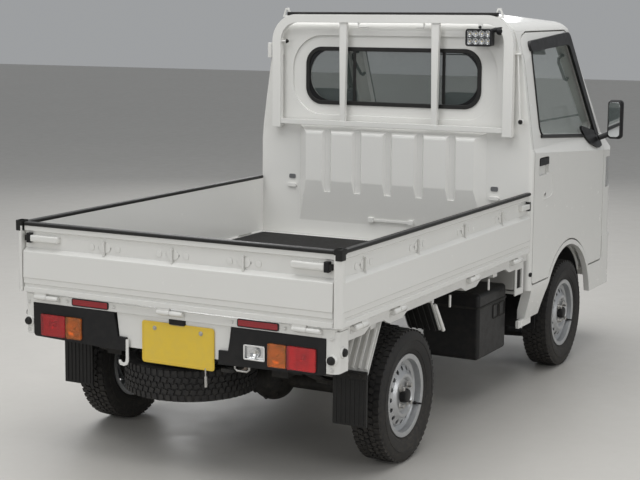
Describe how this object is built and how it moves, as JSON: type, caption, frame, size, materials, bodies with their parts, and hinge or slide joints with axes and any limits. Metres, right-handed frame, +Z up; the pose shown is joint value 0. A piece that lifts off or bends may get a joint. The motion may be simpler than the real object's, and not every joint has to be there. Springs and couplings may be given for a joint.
{
  "type": "kei truck",
  "caption": "Small flatbed truck with a cab over the front wheels, drop sides and tailgate, a rack behind the cab and a work lamp.",
  "frame": {"origin": "on the ground, midway along and across the truck's body", "axes": "+X points to the front of the truck, +Y to its left side and +Z up"},
  "size_m": [3.395, 1.68, 1.796],
  "materials": {
    "white_paint": "glossy white body paint, dusty from use",
    "dark_paint": "matt black chassis paint",
    "silver_paint": "silver wheel paint",
    "tyre_rubber": "black tyre rubber",
    "rail_rubber": "dark grey moulded rubber",
    "glass": "clear tinted glass",
    "clear_lens": "clear lamp lens",
    "red_lens": "red and amber lamp lens",
    "black_plastic": "black moulded plastic",
    "grey_plastic": "grey moulded plastic",
    "seat_cloth": "dark grey woven cloth",
    "engine_metal": "cast metal, oily",
    "exhaust_metal": "weathered steel"
  },
  "bodies": {
    "chassis": {"battery_box": "white_paint", "bed_floor": "white_paint", "bed_mat": "rail_rubber", "bumper_grille": "white_paint", "cab_back_panel": "white_paint", "cab_floor": "white_paint", "cab_frame": "white_paint", "cab_front_panel": "white_paint", "cab_roof": "white_paint", "chassis_frame": "dark_paint", "clear_lamps": "clear_lens", "dashboard": "grey_plastic", "engine_block": "engine_metal", "exhaust": "exhaust_metal", "front_bumper": "white_paint", "fuel_tank": "dark_paint", "guard_frame": "white_paint", "lamp_panels": "black_plastic", "mudflaps": "rail_rubber", "rear_axle": "dark_paint", "rear_lenses": "red_lens", "rear_panel": "white_paint", "rear_window": "glass", "seats": "seat_cloth", "spare_wheel": "tyre_rubber", "windscreen": "glass", "work_lamp": "black_plastic"},
    "door_left": {"door_left": "white_paint", "door_glass_left": "glass", "door_trim_left": "black_plastic"},
    "door_right": {"door_right": "white_paint", "door_glass_right": "glass", "door_trim_right": "black_plastic"},
    "gate_left": {"gate_left": "white_paint", "gate_guard_left": "rail_rubber"},
    "gate_right": {"gate_right": "white_paint", "gate_guard_right": "rail_rubber"},
    "tailgate": {"tailgate": "white_paint", "tailgate_guard": "rail_rubber"},
    "knuckle_left": {"knuckle_left": "dark_paint"},
    "knuckle_right": {"knuckle_right": "dark_paint"},
    "wheel_front_left": {"rim_front_left": "silver_paint", "tyre_front_left": "tyre_rubber"},
    "wheel_front_right": {"rim_front_right": "silver_paint", "tyre_front_right": "tyre_rubber"},
    "wheel_rear_left": {"rim_rear_left": "silver_paint", "tyre_rear_left": "tyre_rubber"},
    "wheel_rear_right": {"rim_rear_right": "silver_paint", "tyre_rear_right": "tyre_rubber"},
    "steering_wheel": {"steering_wheel": "black_plastic"}
  },
  "joints": [
    {"name": "steer_left", "type": "hinge", "parent": "chassis", "child": "knuckle_left", "pos_m": [0.845, 0.605, 0.17], "axis": [0, -0.1455, 0.9894], "range_deg": [-38, 38]},
    {"name": "roll_front_left", "type": "hinge", "parent": "knuckle_left", "child": "wheel_front_left", "pos_m": [0.845, 0.6525, 0.2685], "axis": [0, 1, 0], "continuous": true},
    {"name": "roll_rear_left", "type": "hinge", "parent": "chassis", "child": "wheel_rear_left", "pos_m": [-1.055, 0.65, 0.2685], "axis": [0, 1, 0], "continuous": true},
    {"name": "door_left_hinge", "type": "hinge", "parent": "chassis", "child": "door_left", "pos_m": [1.378, 0.725, 0.8], "axis": [0, 0, -1], "range_deg": [0, 70]},
    {"name": "gate_left_hinge", "type": "hinge", "parent": "chassis", "child": "gate_left", "pos_m": [-0.7, 0.728, 0.64], "axis": [-1, 0, 0], "range_deg": [0, 168]},
    {"name": "steer_right", "type": "hinge", "parent": "chassis", "child": "knuckle_right", "pos_m": [0.845, -0.605, 0.17], "axis": [0, 0.1455, 0.9894], "range_deg": [-38, 38]},
    {"name": "roll_front_right", "type": "hinge", "parent": "knuckle_right", "child": "wheel_front_right", "pos_m": [0.845, -0.6525, 0.2685], "axis": [0, 1, 0], "continuous": true},
    {"name": "roll_rear_right", "type": "hinge", "parent": "chassis", "child": "wheel_rear_right", "pos_m": [-1.055, -0.65, 0.2685], "axis": [0, 1, 0], "continuous": true},
    {"name": "door_right_hinge", "type": "hinge", "parent": "chassis", "child": "door_right", "pos_m": [1.378, -0.725, 0.8], "axis": [0, 0, 1], "range_deg": [0, 70]},
    {"name": "gate_right_hinge", "type": "hinge", "parent": "chassis", "child": "gate_right", "pos_m": [-0.7, -0.728, 0.64], "axis": [1, 0, 0], "range_deg": [0, 168]},
    {"name": "tailgate_hinge", "type": "hinge", "parent": "chassis", "child": "tailgate", "pos_m": [-1.688, 0, 0.64], "axis": [0, -1, 0], "range_deg": [0, 168]},
    {"name": "steering_wheel_turn", "type": "hinge", "parent": "chassis", "child": "steering_wheel", "pos_m": [1.01, -0.34, 1], "axis": [-0.5, 0, 0.866], "range_deg": [-532, 532]}
  ],
  "couplings": [
    {"joint": "steer_right", "follows": "steer_left", "ratio": 1},
    {"joint": "steering_wheel_turn", "follows": "steer_left", "ratio": 14}
  ]
}
